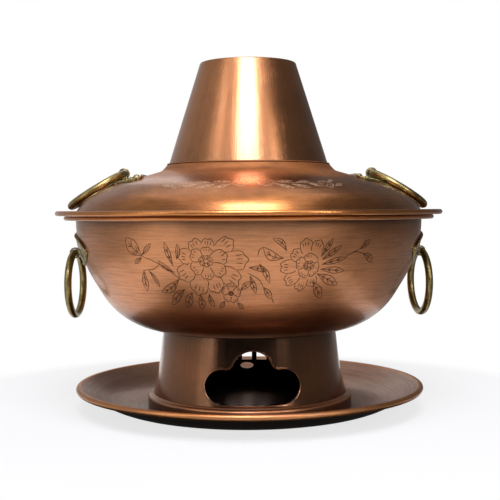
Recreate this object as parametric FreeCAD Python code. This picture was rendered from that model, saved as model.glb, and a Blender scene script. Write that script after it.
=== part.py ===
import FreeCAD, Part
import math
import os
from FreeCAD import Placement, Rotation, Vector

# Chimney hot pot in copper sheet, in millimetres.
# The origin is the centre of the tray's underside, +Z is up, the vent faces -Y
# and the ring handles hang at +X and -X.

# ---- fits -------------------------------------------------------------------------------
seam_gap = 0.15            # soldered or nested sheets
rivet_gap = 0.05           # round a rivet's or a lug's shank
seat_gap = 0.2             # lid brim over the bowl's flange
rest_gap = 0.3             # ring handle over what it lies on
eye_gap = 0.4              # ring wire in its lug's eye
bend_room = 0.98           # share of a side that its bends may use up

# ---- tray -------------------------------------------------------------------------------
tray_sheet = 1.2
tray_well = 26.3           # from the foot ring to where the flank's line meets the floor's
tray_flank = 33.4          # from there to the centre of the rolled rim, outwards
tray_bend_r = 63.0
tray_bead_r = 2.6
tray_rim_z = 18.6
tray_curl = 235.0          # degrees of roll

# ---- bowl -------------------------------------------------------------------------------
# Insets go inwards from bowl_r, and each rise is measured from the corner before it.
bowl_sheet = 1.0
bowl_r = 150.4             # outside, at the mouth
bowl_floor_z = 68.6        # where the wall's underside meets the fire tube
bowl_floor_play = 0.2
bowl_turn_inset = 39.4
bowl_turn_rise = 3.8
bowl_turn_r = 67.0
bowl_shoulder_inset = 9.9
bowl_shoulder_rise = 49.1
bowl_shoulder_r = 125.0
bowl_mouth_rise = 26.0
bowl_mouth_r = 88.0
flange_rise = 20.8         # of the flange's top
flange_fillet = 3.0
flange_reach = 8.55        # from the mouth to the centre of the rolled edge
flange_bead_r = 1.8
flange_curl = 250.0

# ---- fire tube and chimney --------------------------------------------------------------
tube_sheet = 1.5
tube_foot_r = 74.4
tube_drop = 8.6            # below the bowl's floor
tube_taper = 3.4           # its radius lessens by this towards the top
tube_top_drop = 7.0        # below the lid's neck
chimney_sheet = 0.9
chimney_play = 0.2         # over the fire tube's top
chimney_overlap = 4.0
chimney_mouth_r = 42.3
chimney_rise = 89.0        # of its mouth over the lid's neck
chimney_lip_r = 1.5
chimney_lip_curl = 215.0

# ---- pedestal and foot ring -------------------------------------------------------------
pedestal_sheet = 1.2
pedestal_play = 0.3        # round the fire tube's foot
pedestal_waist_z = 36.0
pedestal_waist_flare = 3.7
pedestal_waist_r = 200.0
pedestal_foot_z = 8.0
pedestal_foot_flare = 6.6
pedestal_lift = 1.0        # its edge stands clear of the tray
foot_ledge = 3.5
foot_top_z = 11.8
foot_round = 2.0
foot_cove = 1.6
foot_bottom_width = 1.6

# ---- cloud vent in front, small windows behind --------------------------------------------
vent_sill_rise = 3.3       # over the foot ring
vent_lobe_r = 14.0
vent_lobe_x = 25.0
vent_crown_r = 16.5
vent_crown_rise = 26.4     # of the crown's centre over the sill
vent_notch_r = 7.0
vent_lip_width = 1.3
vent_lip_proud = 0.7
vent_lip_return = 3.0
window_width = 9.4
window_pitch = 14.0
window_sill_rise = 16.6    # over the foot ring
window_height = 17.0
window_drop = 3.5          # the outer windows are this much shorter
window_eye_drop = 5.8      # of the oval's centre under the sill
window_eye_r = 6.3
window_eye_squash = 0.48

# ---- grate ------------------------------------------------------------------------------
grate_rise = 6.0           # over the fire tube's foot
grate_height = 5.0
grate_ring_width = 6.0
grate_ledge = 1.6          # under the bars' ends, both ways
grate_play = 1.0
grate_bars = 9
grate_bar_top = 5.0
grate_bar_foot = 3.0
bracket_width = 7.0
bracket_height = 4.5
bracket_angle = 10.0
brackets = 3

# ---- lid --------------------------------------------------------------------------------
lid_sheet = 1.0
lid_neck_rise = 43.7       # over the bowl's flange
neck_play = 0.5            # round the chimney
neck_bead_r = 0.6
lid_throat_flare = 4.6
lid_throat_drop = 5.2
lid_throat_r = 8.0
lid_dome_inset = 28.0      # from the lid's foot
lid_dome_rise = 24.4       # over the bowl's flange
lid_dome_r = 75.0
lid_shoulder_inset = 9.0
lid_shoulder_rise = 13.7
lid_shoulder_r = 30.0
lid_foot_flare = 1.6       # over the bowl's mouth
lid_foot_fillet = 2.5
lid_overhang = 6.95        # of the lid's rolled edge over the bowl's
lid_bead_r = 2.1
lid_curl = 250.0
skirt_sheet = 1.0
skirt_play = 1.4
skirt_depth = 9.0          # below the flange

# ---- ring handles, the same hardware on bowl and lid ----------------------------------------
ring_wire_r = 3.2
ring_r = 27.4
pivot_height = 8.2         # of the ring's wire above the wall
handle_setback = 4.0       # degrees behind the pot's sides
bowl_handle_drop = 30.3    # below the flange
lid_handle_inset = 44.2    # from the lid's foot
ring_yaw = 2.4             # the bowl's rings hang a little askew in their lugs
ring_roll = 2.0            # and so do the lid's
ring_steps = 36
dip_step = 0.05
bowl_plate = (140.0, 31.0)
bowl_plate_rise = 1.0      # of the plate's middle above the lug
lid_plate = (116.0, 27.0)
lid_plate_rise = 3.5
plate_sheet = 1.2
plate_sweep = 120.0
plate_border = 2.6
plate_border_proud = 0.5
oval_steps = 16
knob_r = 3.4
knob_height = 3.4
knob_rise = 9.6
lug_thickness = 4.0
lug_wall = 1.2
lug_base_r = 4.9
lug_base_height = 1.7
lug_neck_r = 2.6
lug_shank_r = 2.4
peen_r = 4.4
peen_height = 1.3
rivet_r = 1.4
rivet_head_r = 2.7
rivet_head_height = 1.7
rivet_place = 0.66         # share of the way from the lug to the plate's tip

# ---- worked out -------------------------------------------------------------------------
bowl_turn_z = bowl_floor_z + bowl_turn_rise
bowl_shoulder_z = bowl_turn_z + bowl_shoulder_rise
bowl_mouth_z = bowl_shoulder_z + bowl_mouth_rise
flange_z = bowl_mouth_z + flange_rise
flange_rim_r = bowl_r + flange_reach
lid_neck_z = flange_z + lid_neck_rise
lid_foot_r = bowl_r + lid_foot_flare
lid_rim_r = flange_rim_r + lid_overhang
tube_foot_z = bowl_floor_z - tube_drop
tube_top_r = tube_foot_r - tube_taper
tube_top_z = lid_neck_z - tube_top_drop
chimney_top_z = lid_neck_z + chimney_rise
grate_z = tube_foot_z + grate_rise
pedestal_top_r = tube_foot_r + pedestal_play + pedestal_sheet
pedestal_foot_r = pedestal_top_r + pedestal_waist_flare + pedestal_foot_flare
foot_r = pedestal_foot_r + foot_ledge
vent_sill_z = foot_top_z + vent_sill_rise
vent_crown_z = vent_sill_z + vent_crown_rise
window_sill_z = foot_top_z + window_sill_rise
tray_corner_r = foot_r + tray_well
tray_rim_r = tray_corner_r + tray_flank

up = Vector(0, 0, 1)


def export(node, shape):
    shape.exportStep("parts/" + node + ".step")


def rounded(corners, radii):
    """Edges of an open line in the XZ plane with rounded corners, tighter where a side is short."""
    points = [Vector(r, 0, z) for r, z in corners]
    halves = [(before - corner).getAngle(after - corner) / 2
              for before, corner, after in zip(points, points[1:], points[2:])]
    setbacks = [0] + [radius / math.tan(half) for radius, half in zip(radii, halves)] + [0]
    rooms = [bend_room * (after - before).Length / (near + far)
             for before, after, near, far in zip(points, points[1:], setbacks, setbacks[1:])]
    edges = []
    start = points[0]
    for place, half in enumerate(halves):
        corner = points[place + 1]
        back = (points[place] - corner).normalize()
        ahead = (points[place + 2] - corner).normalize()
        setback = setbacks[place + 1] * min(1, rooms[place], rooms[place + 1])
        radius = setback * math.tan(half)
        centre = corner + (back + ahead).normalize() * (radius / math.sin(half))
        middle = centre + (corner - centre).normalize() * radius
        edges.append(Part.makeLine(start, corner + back * setback))
        edges.append(Part.Arc(corner + back * setback, middle, corner + ahead * setback).toShape())
        start = corner + ahead * setback
    edges.append(Part.makeLine(start, points[-1]))
    return edges


def curl(centre, radius, start, sweep):
    """Arc of a rolled edge in the XZ plane, from angle start over sweep, in degrees."""
    def at(angle):
        turn = math.radians(angle)
        return Vector(centre[0] + radius * math.cos(turn), 0, centre[1] + radius * math.sin(turn))
    return Part.Arc(at(start), at(start + sweep / 2), at(start + sweep)).toShape()


def offset(line, distance):
    """The open line moved sideways, to its left for a positive distance."""
    return line.makeOffset2D(distance, openResult=True)


def trace(line):
    """Plain lines and arcs along an open line, and its two ends."""
    edges = []
    for edge in line.OrderedEdges:
        first, last = edge.ParameterRange
        start, middle, end = (edge.valueAt(place) for place in (first, (first + last) / 2, last))
        if isinstance(edge.Curve, Part.Circle):
            edges.append(Part.Arc(start, middle, end).toShape())
        else:
            edges.append(Part.makeLine(start, end))
    return edges, [line.OrderedVertexes[0].Point, line.OrderedVertexes[-1].Point]


def sheet(line, thickness, sweep=360):
    """Sheet metal of revolution whose one face is the line; positive grows to its left."""
    near, near_ends = trace(line)
    far, far_ends = trace(offset(line, thickness))
    far_ends.sort(key=lambda point: (point - near_ends[0]).Length)
    caps = [Part.makeLine(start, end) for start, end in zip(near_ends, far_ends)]
    section = Part.Face(Part.Wire(Part.sortEdges(near + far + caps)[0]))
    body = section.revolve(Vector(), up, sweep)
    body.rotate(Vector(), up, -sweep / 2)
    return body


def turned(corners):
    """Solid of revolution with a straight-sided section."""
    points = [Vector(r, 0, z) for r, z in corners]
    return Part.Face(Part.makePolygon(points + points[:1])).revolve(Vector(), up, 360)


def wire_ring(centre, radius):
    """Round wire bent to a circle about the axis."""
    return Part.makeTorus(centre[0], radius, Vector(0, 0, centre[1]))


def crossing(line, a, b):
    """Where the line crosses the segment from a to b."""
    return line.distToShape(Part.makeLine(a, b))[1][0][0]


def radius_at(line, z):
    return crossing(line, Vector(0, 0, z), Vector(2 * bowl_r, 0, z)).x


def height_at(line, r):
    return crossing(line, Vector(r, 0, 0), Vector(r, 0, chimney_top_z)).z


def dome(radius, height):
    """Cap of a sphere that stands on the XY plane."""
    sphere_r = (radius ** 2 + height ** 2) / (2 * height)
    ball = Part.makeSphere(sphere_r, Vector(0, 0, height - sphere_r))
    return ball.common(Part.makeCylinder(radius, height))


# ---- tray -------------------------------------------------------------------------------

def tray_line():
    """Upper face of the tray, ending where the rolled rim begins."""
    rise = tray_rim_z - tray_sheet
    slope = math.atan2(rise, tray_flank) + math.asin(tray_bead_r / math.hypot(tray_flank, rise))
    end = (tray_rim_r - tray_bead_r * math.sin(slope), tray_rim_z + tray_bead_r * math.cos(slope))
    edges = rounded([(0, tray_sheet), (tray_corner_r, tray_sheet), end], [tray_bend_r])
    roll = curl((tray_rim_r, tray_rim_z), tray_bead_r, math.degrees(slope + math.pi / 2), -tray_curl)
    return Part.Wire(edges + [roll])


def make_tray():
    export("tray_dish", sheet(tray_line(), -tray_sheet))
    wire_r = tray_bead_r - tray_sheet - seam_gap
    export("tray_rim_wire", wire_ring((tray_rim_r, tray_rim_z), wire_r))


# ---- bowl -------------------------------------------------------------------------------

def bowl_wall_line(ends, end_bends=()):
    """Outside of the bowl's wall, from the fire tube up to the mouth and on to the ends."""
    corners = [(tube_foot_r + bowl_floor_play, bowl_floor_z),
               (bowl_r - bowl_turn_inset, bowl_turn_z),
               (bowl_r - bowl_shoulder_inset, bowl_shoulder_z),
               (bowl_r, bowl_mouth_z)] + ends
    return rounded(corners, [bowl_turn_r, bowl_shoulder_r, bowl_mouth_r] + list(end_bends))


def bowl_line():
    """Outside of the bowl with its flange and rolled edge."""
    under_z = flange_z - bowl_sheet
    wall = bowl_wall_line([(bowl_r, under_z), (flange_rim_r, under_z)], [flange_fillet])
    inner_r = flange_bead_r - bowl_sheet
    roll = curl((flange_rim_r, flange_z - flange_bead_r), inner_r, 90, -flange_curl)
    return Part.Wire(wall + [roll])


# ---- pedestal ---------------------------------------------------------------------------

def pedestal_line():
    """Outside of the pedestal, from top to bottom."""
    slope = pedestal_foot_flare / (pedestal_waist_z - pedestal_foot_z)
    end_z = tray_sheet + pedestal_lift
    end_r = pedestal_foot_r + slope * (pedestal_foot_z - end_z)
    bowl_floor_line = Part.Wire(bowl_wall_line([(bowl_r, flange_z)])[:1])
    top_z = height_at(bowl_floor_line, pedestal_top_r - pedestal_sheet) - rest_gap
    waist = (pedestal_top_r + pedestal_waist_flare, pedestal_waist_z)
    corners = [(pedestal_top_r, top_z), waist, (end_r, end_z)]
    return Part.Wire(rounded(corners, [pedestal_waist_r]))


def cloud_outline():
    """Closed cloud shape in the XZ plane: flat sill, two side lobes and a crown."""
    lobe = Vector(vent_lobe_x, 0, vent_sill_z + vent_lobe_r)
    crown = Vector(0, 0, vent_crown_z)
    span = (lobe - crown).Length
    reach_crown = vent_crown_r + vent_notch_r
    reach_lobe = vent_lobe_r + vent_notch_r
    along = (reach_crown ** 2 - reach_lobe ** 2 + span ** 2) / (2 * span)
    across = math.sqrt(reach_crown ** 2 - along ** 2)
    ahead = (lobe - crown).normalize()
    aside = Vector(-ahead.z, 0, ahead.x)
    notch = crown + ahead * along + aside * across
    on_crown = crown + (notch - crown).normalize() * vent_crown_r
    on_lobe = lobe + (notch - lobe).normalize() * vent_lobe_r
    side = lobe + Vector(vent_lobe_r, 0, 0)
    dip = notch + ((on_crown + on_lobe) * 0.5 - notch).normalize() * vent_notch_r
    sill = Vector(vent_lobe_x, 0, vent_sill_z)

    def mirrored(point):
        return Vector(-point.x, 0, point.z)

    edges = [Part.makeLine(mirrored(sill), sill),
             Part.Arc(sill, side, on_lobe).toShape(),
             Part.Arc(on_lobe, dip, on_crown).toShape(),
             Part.Arc(on_crown, crown + up * vent_crown_r, mirrored(on_crown)).toShape(),
             Part.Arc(mirrored(on_crown), mirrored(dip), mirrored(on_lobe)).toShape(),
             Part.Arc(mirrored(on_lobe), mirrored(side), mirrored(sill)).toShape()]
    return Part.Wire(edges)


def window_outlines():
    """Closed outlines of three arched windows over an oval one, in the XZ plane."""
    outlines = []
    half = window_width / 2
    for place in (-1, 0, 1):
        x = place * window_pitch
        top = window_sill_z + window_height - abs(place) * window_drop - half
        corners = [Vector(x - half, 0, top), Vector(x - half, 0, window_sill_z),
                   Vector(x + half, 0, window_sill_z), Vector(x + half, 0, top)]
        arch = Part.Arc(corners[3], Vector(x, 0, top + half), corners[0]).toShape()
        outlines.append(Part.Wire(Part.makePolygon(corners).Edges + [arch]))
    eye = Part.Ellipse(Vector(0, 0, 0), window_eye_r, window_eye_r * window_eye_squash).toShape()
    eye.rotate(Vector(), Vector(1, 0, 0), 90)
    eye.translate(up * (window_sill_z - window_eye_drop))
    outlines.append(Part.Wire([eye]))
    return outlines


def through(outline, depth):
    """Prism of a closed outline in the XZ plane, from the axis out along Y."""
    return Part.Face(outline).extrude(Vector(0, depth, 0))


def make_pedestal():
    line = pedestal_line()
    skirt = sheet(line, -pedestal_sheet)
    cloud = cloud_outline()
    skirt = skirt.cut(through(cloud, -foot_r))
    lip_band = cloud.makeOffset2D(vent_lip_width)
    lip_prism = through(lip_band, -foot_r).cut(through(cloud, -foot_r))
    lip_depth = vent_lip_proud + pedestal_sheet + vent_lip_return
    lip = sheet(offset(line, vent_lip_proud), -lip_depth).common(lip_prism)
    skirt = skirt.fuse(lip).removeSplitter()
    for outline in window_outlines():
        skirt = skirt.cut(through(outline, foot_r))
    export("pedestal", skirt)
    export("foot_ring", foot_ring(line))


def foot_ring(line):
    """Turned ring round the pedestal's foot, with a coved ledge and a rounded shoulder."""
    inner = offset(line, seam_gap)
    bottom = Vector(inner.BoundBox.XMax, 0, inner.BoundBox.ZMin)
    cove_z = foot_top_z + foot_cove
    cove_r = radius_at(inner, cove_z)
    ledge_r = radius_at(inner, foot_top_z) + foot_cove / 2
    corners = [(cove_r, cove_z), (ledge_r, foot_top_z), (foot_r, foot_top_z), (foot_r, tray_sheet)]
    edges = rounded(corners, [foot_cove, foot_round])
    inside = [Vector(foot_r, 0, tray_sheet), Vector(foot_r - foot_bottom_width, 0, tray_sheet),
              bottom, Vector(cove_r, 0, cove_z)]
    edges += Part.makePolygon(inside).Edges
    return Part.Face(Part.Wire(edges)).revolve(Vector(), up, 360)


# ---- fire tube, chimney and grate -----------------------------------------------------------

def bore_radius(z):
    """Inside of the fire tube, which narrows upwards."""
    share = (z - tube_foot_z) / (tube_top_z - tube_foot_z)
    return tube_foot_r + share * (tube_top_r - tube_foot_r) - tube_sheet


def fire_tube():
    foot = bore_radius(tube_foot_z)
    top = bore_radius(tube_top_z)
    return turned([(foot, tube_foot_z), (foot + tube_sheet, tube_foot_z),
                   (top + tube_sheet, tube_top_z), (top, tube_top_z)])


def chimney_lip():
    """Centre of the rolled lip and the wall's slope, so that the wall just clears the fire tube."""
    centre = Vector(chimney_mouth_r - chimney_lip_r, 0, chimney_top_z - chimney_lip_r)
    run = tube_top_r + chimney_play - centre.x
    drop = centre.z - tube_top_z
    slope = math.atan2(run, drop) - math.asin((chimney_lip_r - chimney_sheet) / math.hypot(run, drop))
    return centre, slope


def chimney_radius(z):
    """Outside of the chimney's wall."""
    centre, slope = chimney_lip()
    return centre.x + chimney_lip_r / math.cos(slope) + (centre.z - z) * math.tan(slope)


def chimney_line():
    """Outside of the chimney, from its foot over the fire tube to the lip rolled inward."""
    centre, slope = chimney_lip()
    end = centre + Vector(math.cos(slope), 0, math.sin(slope)) * chimney_lip_r
    foot_z = tube_top_z - chimney_overlap
    foot = Vector(chimney_radius(foot_z), 0, foot_z)
    roll = curl((centre.x, centre.z), chimney_lip_r, math.degrees(slope), chimney_lip_curl)
    return Part.Wire([Part.makeLine(foot, end), roll])


def make_furnace():
    outer_r = bore_radius(grate_z + grate_height) - grate_play
    inner_r = outer_r - grate_ring_width
    export("fire_tube", fire_tube())
    export("chimney", sheet(chimney_line(), chimney_sheet))
    export("grate", grate_ring(outer_r, inner_r))
    export("grate_bars", fire_bars(inner_r))
    export("grate_brackets", grate_brackets())


def grate_ring(outer_r, inner_r):
    """Cast ring with a ledge inside for the bars."""
    ledge_z = grate_z + grate_ledge
    top_z = grate_z + grate_height
    return turned([(inner_r - grate_ledge, grate_z), (outer_r, grate_z), (outer_r, top_z),
                   (inner_r, top_z), (inner_r, ledge_z), (inner_r - grate_ledge, ledge_z)])


def fire_bars(inner_r):
    """Parallel bars that lie on the ring's ledge and narrow downwards."""
    low_z = grate_z + grate_ledge + seam_gap
    top_z = grate_z + grate_height
    inside = Part.makeCylinder(inner_r - seam_gap, grate_height, Vector(0, 0, grate_z))
    pitch = 2 * inner_r / grate_bars
    top = grate_bar_top / 2
    foot = grate_bar_foot / 2
    bars = []
    for bar in range(grate_bars):
        y = (bar - (grate_bars - 1) / 2) * pitch
        section = [Vector(-inner_r, y - foot, low_z), Vector(-inner_r, y + foot, low_z),
                   Vector(-inner_r, y + top, top_z), Vector(-inner_r, y - top, top_z)]
        prism = Part.Face(Part.makePolygon(section + section[:1])).extrude(Vector(2 * inner_r, 0, 0))
        bars.append(prism.common(inside))
    return Part.Compound(bars)


def grate_brackets():
    """Three short ledges inside the fire tube that carry the grate."""
    low_z = grate_z - bracket_height
    low_r = bore_radius(low_z) - seam_gap
    top_r = bore_radius(grate_z) - seam_gap
    corners = [Vector(low_r, 0, low_z), Vector(top_r, 0, grate_z),
               Vector(top_r - bracket_width, 0, grate_z),
               Vector(top_r - bracket_width, 0, grate_z - bracket_height / 2)]
    section = Part.Face(Part.makePolygon(corners + corners[:1]))
    ledge = section.revolve(Vector(), up, bracket_angle)
    group = []
    for place in range(brackets):
        copy = ledge.copy()
        copy.rotate(Vector(), up, place * 360 / brackets - bracket_angle / 2)
        group.append(copy)
    return Part.Compound(group)


# ---- lid --------------------------------------------------------------------------------

def lid_neck_r():
    """Outside of the lid's neck, which stands round the chimney."""
    return chimney_radius(lid_neck_z) + neck_play + lid_sheet


def lid_top_line(end_r):
    """Top face of the lid from its neck to the brim."""
    brim_z = flange_z + seat_gap + lid_sheet
    neck_r = lid_neck_r()
    corners = [(neck_r, lid_neck_z),
               (neck_r + lid_throat_flare, lid_neck_z - lid_throat_drop),
               (lid_foot_r - lid_dome_inset, flange_z + lid_dome_rise),
               (lid_foot_r - lid_shoulder_inset, flange_z + lid_shoulder_rise),
               (lid_foot_r, brim_z),
               (end_r, brim_z)]
    return rounded(corners, [lid_throat_r, lid_dome_r, lid_shoulder_r, lid_foot_fillet])


def lid_line():
    """Top face of the lid with its edge rolled up and inward over a wire."""
    rim_z = flange_z + seat_gap + lid_bead_r
    roll = curl((lid_rim_r, rim_z), lid_bead_r - lid_sheet, -90, lid_curl)
    return Part.Wire(lid_top_line(lid_rim_r) + [roll])


def make_lid(shell_holes):
    line = lid_line()
    shell = sheet(line, -lid_sheet)
    for hole in shell_holes:
        shell = shell.cut(hole)
    export("lid_shell", shell)
    rim = (lid_rim_r, flange_z + seat_gap + lid_bead_r)
    export("lid_rim_wire", wire_ring(rim, lid_bead_r - lid_sheet - seam_gap))
    neck_bead = (lid_neck_r() - neck_bead_r, lid_neck_z + neck_bead_r + seam_gap)
    export("lid_neck_bead", wire_ring(neck_bead, neck_bead_r))
    under = offset(line, -lid_sheet - seam_gap)
    outer_r = bowl_r - bowl_sheet - skirt_play
    inner_r = outer_r - skirt_sheet
    low_z = flange_z - skirt_depth
    skirt = turned([(inner_r, low_z), (outer_r, low_z),
                    (outer_r, height_at(under, outer_r)), (inner_r, height_at(under, inner_r))])
    export("lid_skirt", skirt)


# ---- handles ----------------------------------------------------------------------------

class Mount:
    """Place of a handle on a wall of revolution: axes U along, W up and N out of the wall."""

    def __init__(self, wall, out_side, foot, ahead, plate_size, plate_rise):
        self.wall = wall
        self.out_side = out_side
        self.foot = foot
        self.ahead = ahead
        self.plate_size = plate_size
        self.plate_rise = plate_rise

    def on_wall(self, rise):
        """Point of the wall that lies so far above the foot."""
        spot = Part.Vertex(self.foot + self.ahead * rise)
        return self.wall.distToShape(spot)[1][0][0]

    def axes(self, rise=0):
        """Axes on the wall, so far above the foot."""
        along = Vector(0, 1, 0)
        wall_up = (self.on_wall(rise + 1) - self.on_wall(rise - 1)).normalize()
        turn = Rotation(along, wall_up, along.cross(wall_up), "ZXY")
        return Placement(self.on_wall(rise), turn)

    def placed(self, shape, rise=0, turn=0):
        """Shape from the wall's own axes to its place, turned about the pot's axis."""
        copy = shape.copy()
        copy.Placement = self.axes(rise).multiply(copy.Placement)
        copy.rotate(Vector(), up, turn)
        return copy

    def skin(self, low, thickness):
        """Layer that lies low above this side of the wall."""
        side = self.out_side
        return sheet(offset(self.wall, side * low), side * thickness, plate_sweep)

    def pivot(self):
        return self.axes().multVec(Vector(0, 0, pivot_height))

    def rivet_turns(self):
        """Angles about the pot's axis from the lug to the plate's two rivets."""
        step = math.degrees(rivet_place * self.plate_size[0] / 2 / self.foot.x)
        return (-step, step)

    def oval(self, inset):
        """Prism that cuts an oval, bent round the pot, out of a skin."""
        length, height = (size / 2 - inset for size in self.plate_size)
        normal = self.axes().Rotation.multVec(up)
        if abs(normal.z) > abs(normal.x):
            flat = Vector(1, 1, 0)
            depth = Vector(0, 0, chimney_top_z)
        else:
            flat = Vector(0, 1, 1)
            depth = Vector(2 * bowl_r, 0, 0)
        points = []
        for step in range(oval_steps):
            angle = 2 * math.pi * step / oval_steps
            point = self.on_wall(self.plate_rise + height * math.sin(angle))
            bend = Rotation(up, math.degrees(length * math.cos(angle) / self.foot.x))
            point = bend.multVec(point)
            points.append(Vector(point.x * flat.x, point.y * flat.y, point.z * flat.z))
        outline = Part.BSplineCurve()
        outline.interpolate(points, PeriodicFlag=True)
        return Part.Face(Part.Wire([outline.toShape()])).extrude(depth)


def bowl_mount():
    wall = Part.Wire(bowl_wall_line([(bowl_r, flange_z - bowl_sheet - flange_fillet)]))
    foot_z = flange_z - bowl_handle_drop
    foot = Vector(radius_at(wall, foot_z), 0, foot_z)
    ahead = Vector(radius_at(wall, foot_z + 1), 0, foot_z + 1) - foot
    return Mount(wall, -1, foot, ahead.normalize(), bowl_plate, bowl_plate_rise)


def lid_mount():
    wall = Part.Wire(lid_top_line(lid_foot_r + lid_foot_fillet)[:-3])
    foot_r = lid_foot_r - lid_handle_inset
    foot = Vector(foot_r, 0, height_at(wall, foot_r))
    ahead = Vector(foot_r - 1, 0, height_at(wall, foot_r - 1)) - foot
    return Mount(wall, 1, foot, ahead.normalize(), lid_plate, lid_plate_rise)


def hole(radius):
    """Cylinder along N through plate and wall."""
    depth = 2 * (plate_sheet + plate_border_proud + bowl_sheet)
    return Part.makeCylinder(radius, 2 * depth, Vector(0, 0, -depth))


def escutcheon(mount):
    """Oval plate that follows the wall, with a raised border, a knob and its holes."""
    plate = mount.skin(seam_gap, plate_sheet).common(mount.oval(0))
    rim = mount.oval(0).cut(mount.oval(plate_border))
    border = mount.skin(seam_gap, plate_sheet + plate_border_proud).common(rim)
    knob = dome(knob_r, knob_height + plate_sheet / 2)
    knob.translate(Vector(0, 0, seam_gap + plate_sheet / 2))
    plate = plate.fuse([border, mount.placed(knob, knob_rise)])
    plate = plate.cut(mount.placed(hole(lug_base_r + seam_gap)))
    for turn in mount.rivet_turns():
        plate = plate.cut(mount.placed(hole(rivet_r + rivet_gap), mount.plate_rise, turn))
    return plate.removeSplitter()


def lug(wall_sheet):
    """Eye on a round base, with a shank through the wall peened over inside."""
    eye_r = ring_wire_r + eye_gap
    half = lug_thickness / 2
    eye = Part.makeCylinder(eye_r + lug_wall, lug_thickness, Vector(-half, 0, pivot_height), Vector(1, 0, 0))
    neck = Part.makeCylinder(lug_neck_r, pivot_height - seam_gap, Vector(0, 0, seam_gap))
    base = Part.makeCylinder(lug_base_r, lug_base_height, Vector(0, 0, seam_gap))
    shank = Part.makeCylinder(lug_shank_r, wall_sheet + 3 * seam_gap, Vector(0, 0, -wall_sheet - 2 * seam_gap))
    peen = dome(peen_r, peen_height)
    peen.rotate(Vector(), Vector(1, 0, 0), 180)
    peen.translate(Vector(0, 0, -wall_sheet - seam_gap))
    body = eye.fuse([neck, base, shank, peen])
    bore = Part.makeCylinder(eye_r, 2 * lug_neck_r, Vector(-lug_neck_r, 0, pivot_height), Vector(1, 0, 0))
    return body.cut(bore).removeSplitter()


def rivet(wall_sheet):
    """Domed rivet through plate and wall, with a flat head inside."""
    top = seam_gap + plate_sheet + rivet_gap
    head = dome(rivet_head_r, rivet_head_height)
    head.translate(Vector(0, 0, top))
    tail_z = -wall_sheet - seam_gap
    shank = Part.makeCylinder(rivet_r, top - tail_z + rivet_gap, Vector(0, 0, tail_z))
    tail = Part.makeCylinder(rivet_head_r, rivet_head_height / 2, Vector(0, 0, tail_z - rivet_head_height / 2))
    return head.fuse([shank, tail]).removeSplitter()


def ring(pivot, hang, axis):
    """Ring whose wire passes through the pivot along the axis and which hangs along hang."""
    normal = axis.cross(hang)
    return Part.makeTorus(ring_r, ring_wire_r, pivot + hang * ring_r, normal)


def lid_ring_axes(dip):
    """Hanging line and hinge axis of a lid ring that dips by so many degrees."""
    hang = Vector(math.cos(math.radians(dip)), 0, -math.sin(math.radians(dip)))
    normal = Vector(-hang.z, 0, hang.x)
    roll = math.radians(ring_roll)
    axis = Vector(0, 1, 0) * math.cos(roll) + normal * math.sin(roll)
    return hang, axis


def resting_dip(mount, plate):
    """Steepest dip at which the lid's ring still clears lid and plate by the rest gap."""
    line = Part.Wire(lid_top_line(lid_rim_r))
    pivot = mount.pivot()
    low = 0.0
    high = 90.0
    while high - low > dip_step:
        dip = (low + high) / 2
        hang, axis = lid_ring_axes(dip)
        gap = ring_r
        for step in range(ring_steps):
            turn = 2 * math.pi * step / ring_steps
            point = pivot + hang * (ring_r * (1 - math.cos(turn))) + axis * (ring_r * math.sin(turn))
            beside = Part.Vertex(math.hypot(point.x, point.y), 0, point.z)
            gap = min(gap, beside.distToShape(line)[0], Part.Vertex(point).distToShape(plate)[0])
        if gap > ring_wire_r + rest_gap:
            low = dip
        else:
            high = dip
    return low


def mirrored(shape):
    return shape.mirror(Vector(), Vector(1, 0, 0))


def make_handles(name, mount, wall_sheet, plate, hang, axis):
    """Both handles on one wall; the left one mirrors the right one. Returns the wall's holes."""
    turns = mount.rivet_turns()
    pins = [mount.placed(rivet(wall_sheet), mount.plate_rise, turn) for turn in turns]
    pieces = {"plate": plate,
              "lug": mount.placed(lug(wall_sheet)),
              "rivets": Part.Compound(pins),
              "ring": ring(mount.pivot(), hang, axis)}
    holes = [mount.placed(hole(rivet_r + rivet_gap), mount.plate_rise, turn) for turn in turns]
    holes.append(mount.placed(hole(lug_shank_r + rivet_gap)))
    for shape in list(pieces.values()) + holes:
        shape.rotate(Vector(), up, handle_setback)
    for piece, shape in pieces.items():
        export(name + "_" + piece + "_right", shape)
        export(name + "_" + piece + "_left", mirrored(shape))
    return holes + [mirrored(shape) for shape in holes]


def make_bowl(shell_holes):
    shell = sheet(bowl_line(), bowl_sheet)
    for opening in shell_holes:
        shell = shell.cut(opening)
    export("bowl", shell)
    wire_r = flange_bead_r - bowl_sheet - rest_gap
    export("bowl_rim_wire", wire_ring((flange_rim_r, flange_z - flange_bead_r), wire_r))


os.makedirs("parts", exist_ok=True)
make_tray()
make_pedestal()
make_furnace()

yaw = math.radians(ring_yaw)
bowl_axis = Vector(-math.sin(yaw), math.cos(yaw), 0)
on_bowl = bowl_mount()
make_bowl(make_handles("bowl", on_bowl, bowl_sheet, escutcheon(on_bowl), -up, bowl_axis))

on_lid = lid_mount()
lid_escutcheon = escutcheon(on_lid)
dip = resting_dip(on_lid, lid_escutcheon)
lid_hang, lid_axis = lid_ring_axes(dip)
make_lid(make_handles("lid", on_lid, lid_sheet, lid_escutcheon, lid_hang, lid_axis))
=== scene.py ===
import math

import bmesh
import bpy
from mathutils import Euler, Matrix, Vector
from mathutils.bvhtree import BVHTree


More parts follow.
